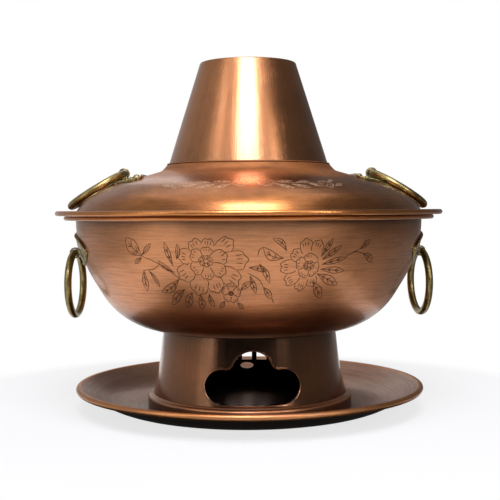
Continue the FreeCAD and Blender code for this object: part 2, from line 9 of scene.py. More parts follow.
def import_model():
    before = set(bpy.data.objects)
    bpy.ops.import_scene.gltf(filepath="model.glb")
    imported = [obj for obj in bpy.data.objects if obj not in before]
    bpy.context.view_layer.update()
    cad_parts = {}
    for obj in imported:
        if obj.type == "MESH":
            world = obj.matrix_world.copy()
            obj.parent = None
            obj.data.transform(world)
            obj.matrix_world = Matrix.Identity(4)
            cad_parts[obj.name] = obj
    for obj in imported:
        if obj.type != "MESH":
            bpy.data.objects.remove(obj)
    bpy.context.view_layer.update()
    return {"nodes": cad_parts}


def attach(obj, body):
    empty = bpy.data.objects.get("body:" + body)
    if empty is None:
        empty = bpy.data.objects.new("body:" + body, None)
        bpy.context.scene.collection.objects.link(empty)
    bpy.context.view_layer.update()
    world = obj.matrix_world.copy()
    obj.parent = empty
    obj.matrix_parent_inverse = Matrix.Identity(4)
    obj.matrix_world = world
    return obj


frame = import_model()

# Chimney hot pot in antiqued copper with brass ring handles.
# Metres, +Z up, vent to -Y. Colours are linear red, green and blue.

nodes = frame["nodes"]
MM = 0.001

# ---- camera, worked out from the photograph's perspective ----------------------------------------
PICTURE_PIXELS = 500
FOCAL_PIXELS = 1013
SENSOR = 36
EYE_DISTANCE = 0.8945
EYE_HEIGHT = 0.1732
POT_TURN = math.radians(1.8)       # the pot stands turned a little, seen from above
AXIS_OFFSET = 1.1 / FOCAL_PIXELS   # the pot's axis lies this far left of the picture's middle
PITCH = 0.040
ROLL = 0.0059

# ---- colours of the metals; of two, the darkest and the brightest --------------------------------
BOWL_COPPER = (0.68, 0.286, 0.122)
LID_COPPER = (0.52, 0.185, 0.064)
LID_GOLDEN = (0.60, 0.225, 0.062)  # of the lid's bright patches
FOOT_COPPER = (0.38, 0.152, 0.065)
STACK_COPPER = (0.57, 0.235, 0.098)
TRAY_COPPER = (0.38, 0.21, 0.14)
AMBER_REFLECTION = (0.62, 0.240, 0.065)       # painted warm reflection on the rolled rims
BLOTCHES = (0.20, 0.095, 0.05)     # of small brown spots
# Patina colour, laid also as painted shade in hollows, on undersides, at the lid's neck and round the
# vent
PATINA_AND_SHADE_TONE = (0.075, 0.042, 0.026)     # of hollows and undersides
SOOT = ((0.012, 0.010, 0.009), (0.04, 0.03, 0.025))
BRASS = ((0.22, 0.165, 0.055), (0.39, 0.300, 0.115))
BRASS_GRIME = (0.10, 0.078, 0.032)
# Colour of rubbed brass edges, also a painted highlight
BRASS_RUBBED_GLINT = (0.60, 0.47, 0.21)
IRON = ((0.020, 0.018, 0.016), (0.075, 0.062, 0.052))
DARK_CUT = ((0.075, 0.028, 0.014), (0.20, 0.085, 0.045))
BRIGHT_CUT = ((0.62, 0.36, 0.20), (0.90, 0.66, 0.46))

# ---- wear, finish, painted shade and painted highlight; of two limits, the first is where it begins, the second where it is full ---
EDGE_RADIUS = 0.0009               # of edges that light catches
# Near an edge the metal is made brighter: rubbed wear, and a painted highlight
EDGE_WEAR_AND_GLINT = (0.99, 0.86)           # cosine between the rounded edge's normal and the face's
HOLLOW_REACH = 0.045               # how near a wall has to be to make a hollow
HOLLOW_OPEN = (0.95, 0.48)         # share of the surroundings left open
UNDERSIDE = (-0.60, -0.90)         # upward part of the normal
INWARD = (0.0, -0.15)              # outward part of the normal
BRIM_RADIUS = 0.158                # where the rolled edge of bowl and lid begins
TRAY_RIM_RADIUS = 0.1455
RIM_FADE = 0.003                   # over which the painted amber reflection comes in
LID_NECK = 0.070                   # radius of the lid's neck, which is mat and darkened with painted shade
NECK_FADE = (0.036, 0.010)         # beyond that radius
VENT_CENTRE = (0.004, -0.075, 0.050)
# The pedestal is darkened with painted shade round the vent:
VENT_PAINTED_SHADE = (0.048, 0.030)        # distance from the vent's centre
VENT_SHADE_RAGGED = 0.02                 # how far the painted shade's edge wanders, in all
LACQUER_ROUGHNESS = 0.16
SPREAD = 0.20                      # of copper's roughness, from the bottom of the brushing to its top
BRUSH_DEPTH = 0.00010              # of the bump that the brushing makes

# Noise scales, per metre
PATCH_SCALE = 17.0                 # broad patches of brighter and darker copper
BLOTCH_SCALE = 75.0                # small spots on copper
CAST_SCALE = 160.0                 # skin of cast brass
GRIME_SCALE = 420.0
SOOT_SCALE = 60.0
GRIT_SCALE = 900.0                 # skin of cast iron
CHATTER_SCALE = 600.0              # bottom of an engraved line

# Brushing, then its scratches: noise scales across and along the lines, a shift of the pattern, and
# detail. Round the axis the scales are per metre and per radian, along it per radian and per metre.
ROUND_BRUSHING = ((330.0, 3.4, 0.0, 4.0), (1500.0, 11.0, 5.0, 3.0))
UPRIGHT_BRUSHING = ((70.0, 7.0, 0.0, 4.0), (260.0, 22.0, 7.0, 3.0))
HEIGHT_SHARE = 1.6                 # brushing round the axis also changes with the height, by this much

# ---- engraving, in millimetres: along the wall at its mouth's radius, and height or radius -------
WALL_CIRCLE = 150.0
LINE_WIDTH = 0.60
LINE_ENDS = 0.35                   # the graver's line is this share of its width at its ends
LINE_PROUD = 0.06
LINE_SUNK = 0.20
LINE_STEP = 0.8                    # between two points of a line
RIBBON_SIDES = ((0, 1), (1, 2), (2, 3), (3, 0))
OUTLINE_STEPS = 22
NOTCH = 0.80                       # a notch between petals reaches this share of the lower one
PETAL_FLATNESS = 2.4               # the higher, the broader a petal's top
PETAL_FULLNESS = 0.7               # the lower, the steeper its flanks
RIPPLE = 0.035                     # of a petal's edge, as a share of its reach
RIPPLES = 2.5                      # across a petal
FAN_PLACES = (-0.3, 0.1, 0.45)     # of the short lines on a petal, from its middle to its edge
FAN_REACH = (0.90, 0.74)           # from and to these shares of the petal's reach
STAMENS = 6
LEAF_STEPS = 8
LEAF_BELLY = 0.3                   # the higher, the nearer to its tip a leaf is widest
MIDRIB = 0.80                      # share of the leaf that its midrib runs along
VEIN_REACH = 0.16                  # how far along the leaf a vein runs while it crosses it

# ---- bead borders on the handle plates -----------------------------------------------------------
BEAD_RADIUS = 0.00085
BEAD_PITCH = 0.0021
BEAD_INSET = 0.0012
BEAD_SINK = 0.25                   # share of its radius that a bead is sunk

# ---- studio --------------------------------------------------------------------------------------
WHITE = (1.0, 1.0, 1.0)
FLOOR_COLOR = (0.80, 0.80, 0.80)
FLOOR_WHITE = 0.75                 # share of plain white beside the pot
SHADOW_REACH = (0.17, 0.32)        # from the pot's axis, where the floor turns to plain white
WORLD_LIGHT = 0.35
CARD_SHADES = {"black_card": 0.03, "dark_card": 0.11, "dusk_card": 0.22, "grey_card": 0.40,
               "pale_card": 0.55}

# Cards that only reflections show: name, size, place, Euler turn in degrees, shade
# The black card under the tray is a painted shadow, which reflections show in place of the shaded floor
FLAGS = (("painted_shadow_under", (0.33, 0.33), (0, 0, 0.0002), (0, 0, 0), "black_card"),
         ("flag_front", (2.8, 0.95), (0.1, -1.75, 0.475), (90, 0, 0), "black_card"),
         ("flag_front_left", (0.40, 0.95), (-1.44, -1.61, 0.475), (90, 0, -45), "black_card"),
         ("flag_right", (2.2, 2.6), (0.95, 0.15, 1.10), (0, 90, 0), "dark_card"),
         ("flag_back_right", (1.06, 2.2), (0.62, 1.45, 1.10), (90, 0, 0), "dark_card"),
         ("flag_back_low", (1.45, 0.45), (-0.575, 1.40, 0.225), (90, 0, 0), "pale_card"),
         ("flag_back_low_right", (1.15, 0.45), (0.725, 1.40, 0.225), (90, 0, 0), "dusk_card"),
         ("flag_low_right", (0.80, 1.9), (0.61, 0.25, 0.001), (0, 0, 0), "dusk_card"),
         ("flag_left", (2.0, 2.2), (-0.95, 0.35, 1.00), (0, 90, 0), "grey_card"),
         ("flag_back_left", (0.8, 1.8), (-0.75, 1.45, 0.90), (90, 0, 0), "grey_card"),
         ("flag_low_left", (0.50, 1.2), (-0.60, 0.45, 0.001), (0, 0, 0), "grey_card"))

# Lamps: name, place, height on the axis that they point at, size, watts, colour
LAMPS = (("key", (-0.06, -1.15, 1.28), 0.20, (0.72, 0.36), 12.0, (0.95, 0.95, 1.15)),
         ("top", (0.0, -0.55, 1.45), 0.10, (0.55, 0.34), 8.5, (0.97, 0.98, 1.10)),
         ("strip_left", (-1.08, -0.73, 0.60), 0.15, (0.07, 1.10), 3.0, WHITE),
         ("strip_right", (0.78, -0.95, 0.62), 0.15, (0.10, 0.62), 3.9, WHITE))


# ---- materials -----------------------------------------------------------------------------------

class Nodes:
    """Short-hand for building the node tree of a material or of the world."""

    def __init__(self, owner):
        owner.use_nodes = True
        self.owner = owner
        self.tree = owner.node_tree

    def add(self, kind, inputs=(), **settings):
        """New node with some of its inputs and settings given."""
        node = self.tree.nodes.new(kind)
        for key, value in settings.items():
            setattr(node, key, value)
        for key, value in dict(inputs).items():
            self.put(node.inputs[key], value)
        return node

    def put(self, socket, value):
        """Link an input to an output, or set it; a colour comes without its alpha."""
        if isinstance(value, bpy.types.NodeSocket):
            self.tree.links.new(value, socket)
        elif socket.type == "RGBA":
            socket.default_value = (*value, 1.0)
        else:
            socket.default_value = value

    def math(self, operation, a, b=0.0):
        return self.add("ShaderNodeMath", {0: a, 1: b}, operation=operation).outputs[0]

    def plus(self, value, mask, amount):
        """Value plus the given amount where the mask is 1."""
        return self.math("ADD", value, self.math("MULTIPLY", mask, amount))

    def noise(self, vector, scale, detail, roughness=0.6):
        node = self.add("ShaderNodeTexNoise",
                        {"Vector": vector, "Scale": scale, "Detail": detail, "Roughness": roughness})
        return node.outputs["Fac"]

    def vector_math(self, operation, a, b):
        return self.add("ShaderNodeVectorMath", {0: a, 1: b}, operation=operation).outputs["Value"]

    def split(self, vector):
        return self.add("ShaderNodeSeparateXYZ", {0: vector}).outputs

    def ramp(self, value, low, high):
        """Value mapped from the range low..high to 0..1, clamped."""
        node = self.add("ShaderNodeMapRange", {"Value": value, "From Min": low, "From Max": high})
        return node.outputs[0]

    def mix(self, factor, a, b):
        """Colour between two; inputs 6 and 7 and output 2 of the node are those for colours."""
        node = self.add("ShaderNodeMix", {0: factor, 6: a, 7: b}, data_type="RGBA")
        return node.outputs[2]

    def lay(self, color, mask, share, over):
        """Colour with that share of another one laid over it where the mask is 1."""
        return self.mix(self.math("MULTIPLY", mask, share), color, over)

    def place(self):
        return self.add("ShaderNodeTexCoord").outputs["Object"]

    def normal(self):
        return self.add("ShaderNodeTexCoord").outputs["Normal"]

    def polar(self):
        """Object coordinates as position, radius from the axis, angle round it and height."""
        position = self.place()
        x, y, z = self.split(position)
        square = self.math("ADD", self.math("MULTIPLY", x, x), self.math("MULTIPLY", y, y))
        return position, self.math("SQRT", square), self.math("ARCTAN2", y, x), z

    def brushed(self, across, along, pattern):
        """Noise of the brushing and of its scratches, drawn out along one of two coordinates."""
        noises = []
        for scale_across, scale_along, shift, detail in pattern:
            x = self.math("MULTIPLY", across, scale_across)
            y = self.math("MULTIPLY", along, scale_along)
            stretched = self.add("ShaderNodeCombineXYZ", {0: x, 1: y, 2: shift})
            noises.append(self.noise(stretched.outputs[0], 1.0, detail))
        return noises

    def inside(self, position, radius):
        """1 on faces that look towards the pot's axis, 0 on the others."""
        normal = self.normal()
        whole = self.vector_math("DOT_PRODUCT", position, normal)
        upward = self.math("MULTIPLY", self.split(position)["Z"], self.split(normal)["Z"])
        outward = self.math("DIVIDE", self.math("SUBTRACT", whole, upward), radius)
        return self.ramp(outward, *INWARD)

    def under(self):
        """1 on faces that look down, 0 on upright ones."""
        return self.ramp(self.split(self.normal())["Z"], *UNDERSIDE)

    def eased(self):
        """Normal of slightly rounded edges, and how much rubbed wear and painted highlight a point gets
        by its nearness to one.
        """
        normal = self.add("ShaderNodeBevel", {"Radius": EDGE_RADIUS}, samples=4).outputs[0]
        flat = self.add("ShaderNodeNewGeometry").outputs["Normal"]
        return normal, self.ramp(self.vector_math("DOT_PRODUCT", normal, flat), *EDGE_WEAR_AND_GLINT)

    def hollows(self):
        """How deep in a corner a point lies, from 0 in the open to 1."""
        node = self.add("ShaderNodeAmbientOcclusion", {"Distance": HOLLOW_REACH}, samples=6)
        return self.ramp(node.outputs["AO"], *HOLLOW_OPEN)

    def seen(self):
        """1 for what a view or a reflection shows, 0 for the light that falls on other things."""
        path = self.add("ShaderNodeLightPath").outputs
        seen = self.math("MAXIMUM", path["Is Camera Ray"], path["Is Glossy Ray"])
        return self.math("MAXIMUM", seen, path["Is Transmission Ray"])

    def bump(self, height, distance, strength, normal=None):
        inputs = {"Height": height, "Distance": distance, "Strength": strength}
        if normal is not None:
            inputs["Normal"] = normal
        return self.add("ShaderNodeBump", inputs).outputs[0]

    def finish(self, color, roughness, normal, metallic=1.0, lacquer=0.0):
        """Feed the shader, and return the finished material."""
        shader = self.tree.nodes["Principled BSDF"]
        self.put(shader.inputs["Base Color"], color)
        self.put(shader.inputs["Roughness"], roughness)
        self.put(shader.inputs["Normal"], normal)
        shader.inputs["Metallic"].default_value = metallic
        shader.inputs["Coat Weight"].default_value = lacquer
        shader.inputs["Coat Roughness"].default_value = LACQUER_ROUGHNESS
        return self.owner


def grade(color, factor):
    """Colour made brighter or darker."""
    return tuple(min(1.0, part * factor) for part in color)


def copper(name, color, roughness, upright=False, sooty=False, lacquer=0.4, bright=None, rim=None,
           neck=None, vent=None):
    """Antiqued copper, brushed round the pot's axis or, when upright, along it.

    Bright is the colour of its brighter patches, where that isn't just a lighter one. Outside the radius
    rim it takes an amber tone, a painted warm reflection; near the radius neck it is mat and darkened
    with painted shade; round the point vent it is darkened with painted shade; and where sooty it is
    black on its inner faces. Hollows get patina and painted shade, undersides painted shade, and edges
    rubbed wear and a painted highlight; the rim gets none of this darkening.
    """
    m = Nodes(bpy.data.materials.new(name))
    position, radius, angle, z = m.polar()
    if upright:
        brushing, scratches = m.brushed(angle, z, UPRIGHT_BRUSHING)
    else:
        brushing, scratches = m.brushed(m.plus(radius, z, HEIGHT_SHARE), angle, ROUND_BRUSHING)
    patches = m.noise(position, PATCH_SCALE, 5.0)
    blotch = m.noise(position, BLOTCH_SCALE, 4.0)
    tone = m.mix(m.ramp(patches, 0.34, 0.68), grade(color, 0.80), bright or grade(color, 1.12))
    rough = m.plus(roughness - SPREAD / 2, brushing, SPREAD)
    rough = m.plus(rough, m.ramp(patches, 0.35, 0.75), 0.08)

    # How much darkening there is: patina and painted shade in hollows, painted shade underneath and near
    # the neck, but none on the rim
    patina_and_shade = m.math("MAXIMUM", m.hollows(), m.math("MULTIPLY", m.under(), 0.9))
    # Near the neck the lid is mat and darkened with painted shade
    if neck:
        near = m.ramp(radius, *(neck + beyond for beyond in NECK_FADE))
        patina_and_shade = m.math("MAXIMUM", patina_and_shade, m.math("MULTIPLY", near, 0.40))
        rough = m.plus(rough, near, 0.35)
    # On the rolled rims an amber tone is a painted warm reflection of one rim in the other, and no shade
    # is laid there
    if rim:
        rolled = m.ramp(radius, rim, rim + RIM_FADE)
        tone = m.lay(tone, rolled, 0.8, AMBER_REFLECTION)
        patina_and_shade = m.math("MULTIPLY", patina_and_shade, m.math("SUBTRACT", 1.0, rolled))

    # Dull streaks of the brushing, its bright and dark scratches, spots, and edges made bright: rubbed
    # wear and a painted highlight
    tone = m.lay(tone, m.ramp(brushing, 0.46, 0.70), 0.60, grade(color, 0.55))
    tone = m.lay(tone, m.ramp(scratches, 0.54, 0.76), 0.45, grade(color, 1.35))
    tone = m.lay(tone, m.ramp(scratches, 0.46, 0.28), 0.45, grade(color, 0.50))
    tone = m.lay(tone, m.ramp(blotch, 0.58, 0.78), 0.30, BLOTCHES)
    eased, worn_and_glint = m.eased()
    tone = m.lay(tone, worn_and_glint, 0.75, grade(color, 1.70))
    rough = m.plus(rough, worn_and_glint, -0.06)

    # Painted shade round the vent, its edge made ragged with the spot noise
    if vent:
        away = m.plus(m.vector_math("DISTANCE", position, vent), m.math("SUBTRACT", blotch, 0.5),
                      VENT_SHADE_RAGGED)
        patina_and_shade = m.math("MAXIMUM", patina_and_shade, m.math("MULTIPLY", m.ramp(away, *VENT_PAINTED_SHADE), 0.8))
    # Lay the darkening on: patina and painted shade in hollows, painted shade on undersides, at the neck
    # and round the vent
    tone = m.lay(tone, patina_and_shade, 0.88, PATINA_AND_SHADE_TONE)
    if sooty:
        soot = m.inside(position, radius)
        tone = m.mix(soot, tone, m.mix(m.ramp(blotch, 0.35, 0.7), *SOOT))
        rough = m.plus(rough, soot, 0.5)
    relief = m.plus(m.math("MULTIPLY", brushing, 0.6), scratches, 0.4)
    return m.finish(tone, rough, m.bump(relief, BRUSH_DEPTH, 0.7, eased), lacquer=lacquer)


def aged_brass(name):
    """Cast brass with olive grime in random patches, and bright on its edges where hands rub it, with a
    painted highlight there too.
    """
    m = Nodes(bpy.data.materials.new(name))
    position = m.place()
    cast = m.noise(position, CAST_SCALE, 5.0)
    grime = m.noise(position, GRIME_SCALE, 4.0)
    tone = m.mix(m.ramp(cast, 0.35, 0.68), *BRASS)
    tone = m.lay(tone, m.ramp(grime, 0.56, 0.76), 0.5, BRASS_GRIME)
    eased, worn_and_glint = m.eased()
    tone = m.lay(tone, worn_and_glint, 0.55, BRASS_RUBBED_GLINT)
    return m.finish(tone, m.plus(0.24, cast, 0.22), m.bump(cast, 0.0001, 0.3, eased), lacquer=0.3)


def cast_iron(name):
    """Sooty cast iron."""
    m = Nodes(bpy.data.materials.new(name))
    position = m.place()
    grit = m.noise(position, GRIT_SCALE, 4.0, 0.7)
    soot = m.noise(position, SOOT_SCALE, 4.0)
    tone = m.mix(m.ramp(soot, 0.35, 0.7), *IRON)
    return m.finish(tone, m.plus(0.55, grit, 0.25), m.bump(grit, 0.0004, 0.8), metallic=0.6)


def cut_metal(name, tones):
    """Metal that a graver has cut."""
    m = Nodes(bpy.data.materials.new(name))
    chatter = m.noise(m.place(), CHATTER_SCALE, 3.0)
    tone = m.mix(m.ramp(chatter, 0.38, 0.68), *tones)
    return m.finish(tone, m.plus(0.35, chatter, 0.2), m.bump(chatter, 0.00005, 0.5))


MATERIALS = {
    "spun": copper("spun_copper", BOWL_COPPER, 0.37, rim=BRIM_RADIUS),
    "lid": copper("lid_copper", LID_COPPER, 0.25, lacquer=0.2, bright=LID_GOLDEN, rim=BRIM_RADIUS,
                  neck=LID_NECK),
    "foot": copper("foot_copper", FOOT_COPPER, 0.14, upright=True, sooty=True, vent=VENT_CENTRE),
    "stack": copper("stack_copper", STACK_COPPER, 0.21, upright=True, sooty=True),
    "tray": copper("tray_copper", TRAY_COPPER, 0.38, lacquer=0.2, rim=TRAY_RIM_RADIUS),
    "brass": aged_brass("aged_brass"),
    "iron": cast_iron("cast_iron"),
    "dark_line": cut_metal("engraved_dark", DARK_CUT),
    "bright_line": cut_metal("engraved_bright", BRIGHT_CUT)}
STACK_NODES = ("chimney", "fire_tube")
LID_NODES = ("lid_shell", "lid_rim_wire", "lid_neck_bead", "lid_skirt")
BRASS_NAMES = ("_plate_", "_lug_", "_ring_l", "_ring_r", "_rivets_")


def finish_of(name):
    if name.startswith("grate"):
        return "iron"
    if name.startswith("tray"):
        return "tray"
    if name in LID_NODES:
        return "lid"
    if name == "pedestal":
        return "foot"
    if name in STACK_NODES:
        return "stack"
    if any(part in name for part in BRASS_NAMES):
        return "brass"
    return "spun"


def dress(obj, material):
    obj.data.materials.clear()
    obj.data.materials.append(MATERIALS[material])


for name, node in nodes.items():
    dress(node, finish_of(name))


# ---- pieces made here ----------------------------------------------------------------------------

def piece(name, mesh, body, material, smooth=False):
    """Mesh as a piece of its own, which rides on a body and has a colour slot."""
    for face in mesh.polygons:
        face.use_smooth = smooth
    obj = bpy.data.objects.new(name, mesh)
    bpy.context.scene.collection.objects.link(obj)
    dress(obj, material)
    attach(obj, body)


class Wall:
    """Turned wall on which lines are drawn. Along runs round it from the front, in millimetres."""

    def __init__(self, node, from_above):
        mesh = nodes[node].data
        self.tree = BVHTree.FromPolygons([vertex.co for vertex in mesh.vertices],
                                         [face.vertices for face in mesh.polygons])
        self.from_above = from_above

    def spot(self, along, reach):
        """Place and outward normal; reach is the height, or the radius where looked at from above.

        The ray that finds them starts a metre above the table, or a metre out from the axis.
        """
        turn = along / WALL_CIRCLE
        outward = Vector((math.sin(turn), -math.cos(turn), 0))
        if self.from_above:
            start, ahead = outward * reach * MM + Vector((0, 0, 1)), Vector((0, 0, -1))
        else:
            start, ahead = outward + Vector((0, 0, reach * MM)), -outward
        return self.tree.ray_cast(start, ahead)[:2]


def smoothed(points):
    """Points at an even pace along a Catmull-Rom curve through the given ones."""
    points = [Vector(point) for point in points]
    ends = [points[0] * 2 - points[1]] + points + [points[-1] * 2 - points[-2]]
    line = []
    for before, start, end, after in zip(ends, ends[1:], ends[2:], ends[3:]):
        steps = max(1, round((end - start).length / LINE_STEP))
        for step in range(steps):
            t = step / steps
            bend = (end - before) * t + (before * 2 - start * 5 + end * 4 - after) * t ** 2
            bend += (start * 3 - before - end * 3 + after) * t ** 3
            line.append(start + bend / 2)
    return line + [points[-1]]


def engraved(name, wall, lines, offset, body, material):
    """Graver's lines as closed ribbons let into the wall, finer at their ends.

    Offset is how far along the wall, in millimetres, the whole drawing is moved.
    """
    vertices, faces = [], []
    for line in lines:
        spots = [wall.spot(along + offset, reach) for along, reach in smoothed(line)]
        first = len(vertices)
        last = len(spots) - 1
        for place in range(len(spots)):
            here, normal = spots[place]
            ahead = spots[min(place + 1, last)][0] - spots[max(place - 1, 0)][0]
            side = normal.cross(ahead).normalized()
            share = LINE_ENDS + (1 - LINE_ENDS) * abs(math.sin(math.pi * place / last)) ** 0.5
            half = side * LINE_WIDTH / 2 * share * MM
            top, bottom = normal * LINE_PROUD * MM, normal * -LINE_SUNK * MM
            vertices += [here + half + top, here - half + top, here - half + bottom, here + half + bottom]
        for row in range(first, first + 4 * last, 4):
            faces += [(row + a, row + b, row + b + 4, row + a + 4) for a, b in RIBBON_SIDES]
        faces += [(first + 3, first + 2, first + 1, first),
                  tuple(first + 4 * last + corner for corner in range(4))]
    mesh = bpy.data.meshes.new(name)
    mesh.from_pydata(vertices, [], faces)
    mesh.validate()
    piece(name, mesh, body, material)


# ---- parts of the drawing ------------------------------------------------------------------------

def around(centre, radius, turn):
    """Point at that radius and angle from a centre."""
    return centre[0] + radius * math.cos(turn), centre[1] + radius * math.sin(turn)


def petal(centre, width, height, start=0, sweep=360, waves=3, wave=0.05):
    """Rounded outline with a wavy edge, or the part of it that isn't hidden.

    Its waves start where its place puts them, so that no two outlines are alike.
    """
    x, y = centre
    line = []
    for step in range(OUTLINE_STEPS + 1):
        angle = math.radians(start + sweep * step / OUTLINE_STEPS)
        swell = 1 + wave * math.sin(waves * angle + x)
        line.append((x + width / 2 * swell * math.cos(angle), y + height / 2 * swell * math.sin(angle)))
    return [line]


def leaf(base, tip, width, lean=0, veins=0):
    """Two bowed sides that meet in a point, a midrib, and veins that branch off it."""
    base, tip = Vector(base), Vector(tip)
    across = Vector((base.y - tip.y, tip.x - base.x)).normalized()

    def spot(share, swell):
        bow = math.sin(math.pi * share)
        return base.lerp(tip, share) + across * bow * (lean + swell * share ** LEAF_BELLY)

    def side(swell, end):
        return [spot(end * step / LEAF_STEPS, swell) for step in range(LEAF_STEPS + 1)]

    lines = [side(width / 2, 1.0), side(-width / 2, 1.0), side(0.0, MIDRIB)]
    for vein in range(veins):
        share = (vein + 1) / (veins + 1.5)
        for swell in (width / 3, -width / 3):
            lines.append([spot(share, 0.0), spot(share + VEIN_REACH, swell)])
    return lines


def leaves(*rows):
    """Several leaves, each given as leaf() takes it."""
    return [line for row in rows for line in leaf(*row)]


def heart(centre, size):
    """Stamens of a full flower."""
    x, y = centre
    lines = petal(centre, size, size * 0.76, waves=7, wave=0.09)
    lines += petal(centre, size * 0.34, size * 0.30)
    for step in range(STAMENS):
        angle = math.tau * step / STAMENS
        place = (x + 0.33 * size * math.cos(angle), y + 0.25 * size * math.sin(angle))
        lines += petal(place, size * 0.15, size * 0.13)
    return lines


def ring_of_petals(centre, petals, inner, closed=True):
    """Petals side by side round a flower's heart, each given by its angle and how far it reaches.

    Their edges ripple, and a line runs from each notch in to the radius called inner.
    """
    lines = []
    count = len(petals)
    for place in range(count):
        angle, reach = petals[place]
        before, after = petals[place - 1], petals[(place + 1) % count]
        gap_before, gap_after = (angle - before[0]) % 360 / 2, (after[0] - angle) % 360 / 2
        if not closed:
            gap_before = gap_after if place == 0 else gap_before
            gap_after = gap_before if place == count - 1 else gap_after
        notch_before = NOTCH * min(reach, before[1])
        notch_after = NOTCH * min(reach, after[1])
        edge = []
        for step in range(OUTLINE_STEPS + 1):
            t = 2 * step / OUTLINE_STEPS - 1
            notch, gap = (notch_before, gap_before) if t < 0 else (notch_after, gap_after)
            radius = notch + (reach - notch) * (1 - abs(t) ** PETAL_FLATNESS) ** PETAL_FULLNESS
            radius += RIPPLE * reach * math.cos(RIPPLES * math.pi * t + place) * (1 - t * t)
            edge.append(around(centre, radius, math.radians(angle + t * gap)))
        turn = math.radians(angle + gap_after)
        seam = [around(centre, notch_after, turn),
                around(centre, (notch_after + inner) / 2, turn + 0.05),
                around(centre, inner, turn)]
        lines += [edge, seam]
        for fan in FAN_PLACES:
            turn = math.radians(angle + fan * gap_after)
            lines.append([around(centre, share * reach, turn) for share in FAN_REACH])
    return lines


# ---- the sprays on bowl and lid ------------------------------------------------------------------

def left_flower():
    """Large peony with two rings of petals."""
    centre = (-38, 135)
    lines = heart(centre, 11)
    lines += ring_of_petals(centre, ((15, 17), (80, 10.5), (150, 13), (215, 14), (270, 14), (325, 17)),
                            inner=5.2)
    lines += ring_of_petals(centre, ((2, 32), (38, 26), (78, 17), (122, 18.5), (168, 22), (206, 27),
                                     (246, 28), (288, 25), (326, 30)), inner=14)
    return lines


def left_leaves():
    """Leaves to both sides of the large peony and below it, a bud, and the stems between them."""
    lines = leaves(((-63, 121), (-84, 110), 7, 2, 3),
                   ((-60, 113), (-77, 99.5), 7, -1, 2),
                   ((-54, 110.5), (-63, 98.5), 8, 0, 2),
                   ((-47, 109), (-49, 97), 7, 1, 2),
                   ((-39, 109.5), (-36, 99), 5, -1, 1),
                   ((-66, 131), (-71, 149), 5, 0, 2),
                   ((-62, 136), (-60, 148), 4, -1),
                   ((-66, 126), (-79, 135), 4, 1),
                   ((-5, 130), (9, 127), 4.5, 1, 1),
                   ((-4, 124), (1, 110), 5, 0, 2),
                   ((3, 133), (12, 118), 5, 1, 2),
                   ((7, 115), (15, 105.5), 5.5, 0, 1),
                   ((-93, 138), (-108, 152), 14, 1, 2))
    lines += petal((-100, 143), 8, 6.5, start=200, sweep=200)
    lines += leaves(((-93, 139), (-83, 148), 4),
                    ((-94, 137), (-103, 132), 3.5),
                    ((-95, 127), (-100, 110), 7, 0, 2),
                    ((-90, 127), (-84, 114), 4, 1))
    lines += [[(-61, 120), (-70, 127), (-80, 133), (-93, 138)],
              [(-78, 132), (-84, 128.5), (-90, 127.5), (-96, 127)],
              [(-6, 126), (-1, 123.5), (4, 120), (7, 115)],
              [(15, 106), (17, 102)]]
    return lines


def left_bloom():
    """Small open flower under the large peony."""
    centre = (-20, 110)
    lines = heart(centre, 4.5)
    lines += ring_of_petals(centre, ((10, 8), (82, 8.5), (154, 8), (226, 7.5), (298, 7.5)), inner=2.4)
    lines += leaves(((-12, 112), (-2, 119), 5, 1, 1),
                    ((-26, 104), (-31, 98), 4),
                    ((-15, 103), (-10, 97.5), 4))
    return lines


def right_flower():
    """Smaller peony, half turned away, with two leaves."""
    centre = (43, 131)
    lines = heart(centre, 9)
    lines += ring_of_petals(centre, ((95, 9), (165, 11), (235, 10), (305, 9)), inner=4.2)
    lines += ring_of_petals(centre, ((68, 20), (104, 20.5), (143, 18), (182, 23), (216, 22), (253, 20),
                                     (290, 17)), inner=11, closed=False)
    lines += leaves(((22, 137), (6, 145.5), 8, 3, 2),
                    ((24, 142), (13, 152), 5, -2, 1))
    lines += [[(6, 145.5), (3, 143), (2, 138.5)]]
    return lines


def right_leaves():
    """Fan of leaves to the right of the smaller peony, and a twig."""
    lines = leaves(((52, 137.5), (61, 151), 4.5, 0, 2),
                   ((53, 135), (69, 145.5), 5, 0, 2),
                   ((53.5, 131.5), (75, 136.5), 5, 0, 2),
                   ((53, 128), (76, 126), 6, 0, 2),
                   ((51, 124.5), (73, 115), 8, 0, 3),
                   ((49, 118), (61, 104.5), 8, 0, 2),
                   ((87, 142.5), (97, 149.5), 5, 0, 1),
                   ((91, 139), (104, 131.5), 6, 1, 1))
    lines += [[(74, 136.5), (80, 140), (87, 142.5)], [(80, 140), (85, 140.5), (91, 139)]]
    return lines


def lid_sprays():
    """Two small flowers joined by a leafy stem, to the left and to the right."""
    lines = []
    for side in (-1, 1):
        for along, radius, size in ((12, 118, 8.5), (73, 122, 7)):
            petals = [(72 * step + 10, size) for step in range(5)]
            lines += ring_of_petals((side * along, radius), petals, inner=1.6)
        for base, tip, width, veins in (((20, 122), (36, 130), 5, 2),
                                        ((22, 117), (40, 116), 5, 2),
                                        ((36, 123), (52, 129), 5, 2),
                                        ((42, 119), (58, 116), 5, 2),
                                        ((54, 122), (65, 127), 4, 1),
                                        ((80, 126), (92, 122), 4, 1),
                                        ((80, 118), (90, 111), 4, 1),
                                        ((6, 110), (0.8, 104), 4, 0)):
            lines += leaf((side * base[0], base[1]), (side * tip[0], tip[1]), width, 0, veins)
        lines += [[(side * 20, 119), (side * 34, 120.5), (side * 50, 120), (side * 66, 122)]]
    return lines


